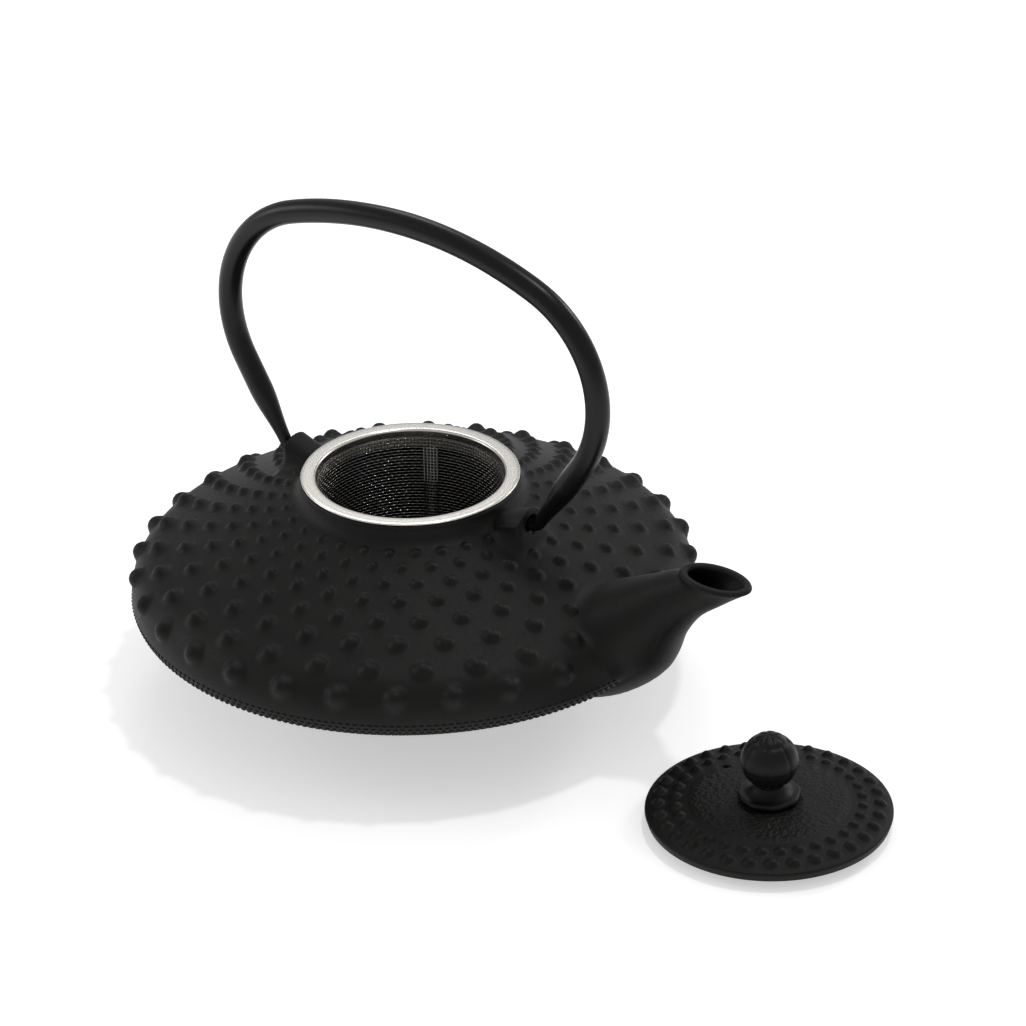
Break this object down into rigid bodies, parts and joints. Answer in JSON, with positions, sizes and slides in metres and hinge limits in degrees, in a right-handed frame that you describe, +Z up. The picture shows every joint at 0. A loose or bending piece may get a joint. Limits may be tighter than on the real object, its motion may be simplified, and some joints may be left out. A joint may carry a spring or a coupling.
{
  "type": "teapot",
  "caption": "Low lens-shaped cast-iron teapot with a studded dome, swinging bail handle, lift-out mesh infuser and a knobbed lid lying beside its spout.",
  "frame": {"origin": "centre of the pot's flat foot, on the table", "axes": "+Z up, +X towards the spout and across both lugs, the bail's hinge line lies along X"},
  "size_m": [0.2883, 0.191, 0.1718],
  "materials": {
    "cast_iron": "matt black",
    "bail_iron": "satin black",
    "knob_iron": "satin black",
    "stainless_sheet": "bright satin",
    "stainless_mesh": "woven wire"
  },
  "bodies": {
    "pot": {"pot_body": "cast_iron"},
    "bail": {"handle": "bail_iron"},
    "infuser": {"infuser_rim": "stainless_sheet", "infuser_mesh": "stainless_mesh", "infuser_base_ring": "stainless_sheet", "infuser_base_mesh": "stainless_mesh"},
    "lid": {"lid_plate": "cast_iron", "knob_rosette": "knob_iron", "lid_knob": "knob_iron", "knob_washer": "knob_iron"}
  },
  "joints": [
    {"name": "handle_swing", "type": "hinge", "parent": "pot", "child": "bail", "pos_m": [0, 0, 0.0718], "axis": [1, 0, 0], "range_deg": [-98, 98]},
    {"name": "infuser_lift", "type": "slide", "parent": "pot", "child": "infuser", "axis": [0, 0, 1], "range_m": [0, 0.06]},
    {"name": "lid_lift", "type": "slide", "parent": "pot", "child": "lid", "axis": [0.5, 0, 0.866], "range_m": [0, 0.1]}
  ]
}
